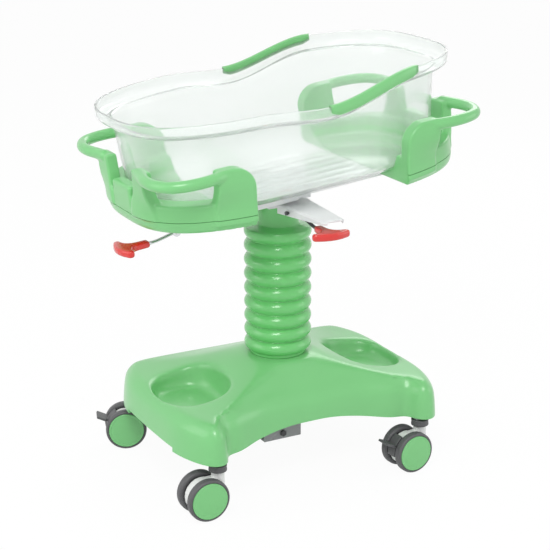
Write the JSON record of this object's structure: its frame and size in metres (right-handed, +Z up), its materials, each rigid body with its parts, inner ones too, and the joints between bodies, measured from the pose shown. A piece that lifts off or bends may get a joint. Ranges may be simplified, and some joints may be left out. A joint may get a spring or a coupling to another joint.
{
  "type": "hospital bassinet",
  "caption": "Height-adjustable tilting hospital bassinet: clear tub in green end cradles on a bellows column, with a moulded base on lockable twin-wheel casters.",
  "frame": {"origin": "on the floor, under the axis of the lifting column", "axes": "+Z up along the column, +X towards the head end, -Y towards the side with the height lever"},
  "size_m": [0.8324, 0.566, 0.9944],
  "materials": {
    "green_plastic": "smooth moulded pale green",
    "bellows_green": "satin green flexible moulding",
    "clear_plastic": "clear, polished",
    "white_steel": "white powder coat",
    "grey_steel": "grey powder coat",
    "bright_steel": "polished",
    "dark_steel": "dark satin",
    "dark_plastic": "dark grey, matte",
    "pale_plastic": "white, smooth",
    "red_plastic": "red, smooth"
  },
  "bodies": {
    "base": {"base_cover": "green_plastic", "chassis_rail_foot": "grey_steel", "chassis_rail_head": "grey_steel", "chassis_spine": "grey_steel", "column_bracket": "grey_steel", "bracket_bolt": "dark_steel", "outer_tube": "grey_steel", "guide_bush": "dark_plastic", "lift_spring_cylinder": "dark_steel", "caster_foot_near_stem": "dark_plastic", "caster_head_near_stem": "dark_plastic", "caster_foot_far_stem": "dark_plastic", "caster_head_far_stem": "dark_plastic"},
    "swivel_foot_near": {"caster_foot_near_fork": "pale_plastic", "caster_foot_near_axle": "bright_steel"},
    "wheel_foot_near_near": {"caster_foot_near_wheel_near": "dark_plastic", "caster_foot_near_cap_near": "green_plastic"},
    "wheel_foot_near_far": {"caster_foot_near_wheel_far": "dark_plastic", "caster_foot_near_cap_far": "green_plastic"},
    "swivel_head_near": {"caster_head_near_fork": "pale_plastic", "caster_head_near_axle": "bright_steel"},
    "wheel_head_near_near": {"caster_head_near_wheel_near": "dark_plastic", "caster_head_near_cap_near": "green_plastic"},
    "wheel_head_near_far": {"caster_head_near_wheel_far": "dark_plastic", "caster_head_near_cap_far": "green_plastic"},
    "pedal_head_near": {"caster_head_near_pedal": "dark_plastic"},
    "swivel_foot_far": {"caster_foot_far_fork": "pale_plastic", "caster_foot_far_axle": "bright_steel"},
    "wheel_foot_far_near": {"caster_foot_far_wheel_near": "dark_plastic", "caster_foot_far_cap_near": "green_plastic"},
    "wheel_foot_far_far": {"caster_foot_far_wheel_far": "dark_plastic", "caster_foot_far_cap_far": "green_plastic"},
    "pedal_foot_far": {"caster_foot_far_pedal": "dark_plastic"},
    "swivel_head_far": {"caster_head_far_fork": "pale_plastic", "caster_head_far_axle": "bright_steel"},
    "wheel_head_far_near": {"caster_head_far_wheel_near": "dark_plastic", "caster_head_far_cap_near": "green_plastic"},
    "wheel_head_far_far": {"caster_head_far_wheel_far": "dark_plastic", "caster_head_far_cap_far": "green_plastic"},
    "lift": {"inner_tube": "bright_steel", "lift_spring_rod": "bright_steel", "bellows": "bellows_green", "column_head": "white_steel", "tilt_pin": "bright_steel", "squeeze_plate": "white_steel", "lever_pin": "dark_steel"},
    "height_lever": {"height_lever_rod": "dark_steel", "height_lever_grip": "red_plastic"},
    "tilt": {"tilt_frame": "white_steel", "release_bracket": "pale_plastic", "cradle_head": "green_plastic", "cradle_foot": "green_plastic"},
    "foot_lever": {"foot_lever_rod": "dark_steel", "foot_lever_grip": "red_plastic"},
    "spring_barrel": {"tilt_spring_barrel": "dark_steel"},
    "spring_rod": {"tilt_spring_rod": "bright_steel"},
    "tub": {"tub": "clear_plastic", "rim_trim_near": "green_plastic", "rim_trim_far": "green_plastic"}
  },
  "joints": [
    {"name": "swivel_foot_near", "type": "hinge", "parent": "base", "child": "swivel_foot_near", "pos_m": [-0.27, -0.217, 0.1], "axis": [0, 0, 1], "continuous": true},
    {"name": "spin_foot_near_near", "type": "hinge", "parent": "swivel_foot_near", "child": "wheel_foot_near_near", "pos_m": [-0.307, -0.217, 0.05], "axis": [0, -1, 0], "continuous": true},
    {"name": "spin_foot_near_far", "type": "hinge", "parent": "swivel_foot_near", "child": "wheel_foot_near_far", "pos_m": [-0.307, -0.217, 0.05], "axis": [0, -1, 0], "continuous": true},
    {"name": "swivel_head_near", "type": "hinge", "parent": "base", "child": "swivel_head_near", "pos_m": [0.27, -0.217, 0.1], "axis": [0, 0, 1], "continuous": true},
    {"name": "spin_head_near_near", "type": "hinge", "parent": "swivel_head_near", "child": "wheel_head_near_near", "pos_m": [0.23309, -0.21958, 0.05], "axis": [0.0698, -0.9976, 0], "continuous": true},
    {"name": "spin_head_near_far", "type": "hinge", "parent": "swivel_head_near", "child": "wheel_head_near_far", "pos_m": [0.23309, -0.21958, 0.05], "axis": [0.0698, -0.9976, 0], "continuous": true},
    {"name": "brake_head_near", "type": "hinge", "parent": "swivel_head_near", "child": "pedal_head_near", "pos_m": [0.23309, -0.21958, 0.05], "axis": [0.0698, -0.9976, 0], "range_deg": [0, 20]},
    {"name": "swivel_foot_far", "type": "hinge", "parent": "base", "child": "swivel_foot_far", "pos_m": [-0.27, 0.217, 0.1], "axis": [0, 0, 1], "continuous": true},
    {"name": "spin_foot_far_near", "type": "hinge", "parent": "swivel_foot_far", "child": "wheel_foot_far_near", "pos_m": [-0.30477, 0.22965, 0.05], "axis": [-0.342, -0.9397, 0], "continuous": true},
    {"name": "spin_foot_far_far", "type": "hinge", "parent": "swivel_foot_far", "child": "wheel_foot_far_far", "pos_m": [-0.30477, 0.22965, 0.05], "axis": [-0.342, -0.9397, 0], "continuous": true},
    {"name": "brake_foot_far", "type": "hinge", "parent": "swivel_foot_far", "child": "pedal_foot_far", "pos_m": [-0.30477, 0.22965, 0.05], "axis": [-0.342, -0.9397, 0], "range_deg": [0, 20]},
    {"name": "swivel_head_far", "type": "hinge", "parent": "base", "child": "swivel_head_far", "pos_m": [0.27, 0.217, 0.1], "axis": [0, 0, 1], "continuous": true},
    {"name": "spin_head_far_near", "type": "hinge", "parent": "swivel_head_far", "child": "wheel_head_far_near", "pos_m": [0.23336, 0.21185, 0.05], "axis": [0.1392, -0.9903, 0], "continuous": true},
    {"name": "spin_head_far_far", "type": "hinge", "parent": "swivel_head_far", "child": "wheel_head_far_far", "pos_m": [0.23336, 0.21185, 0.05], "axis": [0.1392, -0.9903, 0], "continuous": true},
    {"name": "lift", "type": "slide", "parent": "base", "child": "lift", "axis": [0, 0, 1], "range_m": [-0.1, 0.1], "deforming": ["bellows"]},
    {"name": "height_lever", "type": "hinge", "parent": "lift", "child": "height_lever", "pos_m": [0, -0.122, 0.647], "axis": [-1, 0, 0], "range_deg": [0, 4.5], "stiffness_Nm_per_rad": 2},
    {"name": "tilt", "type": "hinge", "parent": "lift", "child": "tilt", "pos_m": [0, 0, 0.668], "axis": [0, -1, 0], "range_deg": [-18, 6]},
    {"name": "foot_lever", "type": "hinge", "parent": "tilt", "child": "foot_lever", "pos_m": [-0.27305, 0, 0.61115], "axis": [0, 1, 0], "range_deg": [0, 6], "stiffness_Nm_per_rad": 2},
    {"name": "spring_pivot", "type": "hinge", "parent": "tilt", "child": "spring_barrel", "pos_m": [-0.2496, 0, 0.61763], "axis": [0, -1, 0], "range_deg": [-11, 5]},
    {"name": "spring_stroke", "type": "slide", "parent": "spring_barrel", "child": "spring_rod", "axis": [0.9999, 0, 0.0156], "range_m": [-0.008, 0.022]},
    {"name": "tub_lift_off", "type": "slide", "parent": "tilt", "child": "tub", "axis": [-0.1045, 0, 0.9945], "range_m": [0, 0.3]}
  ],
  "couplings": [
    {"joint": "spring_pivot", "follows": "tilt", "ratio": 0.559},
    {"joint": "spring_stroke", "follows": "tilt", "m_per_rad": -0.0628}
  ]
}
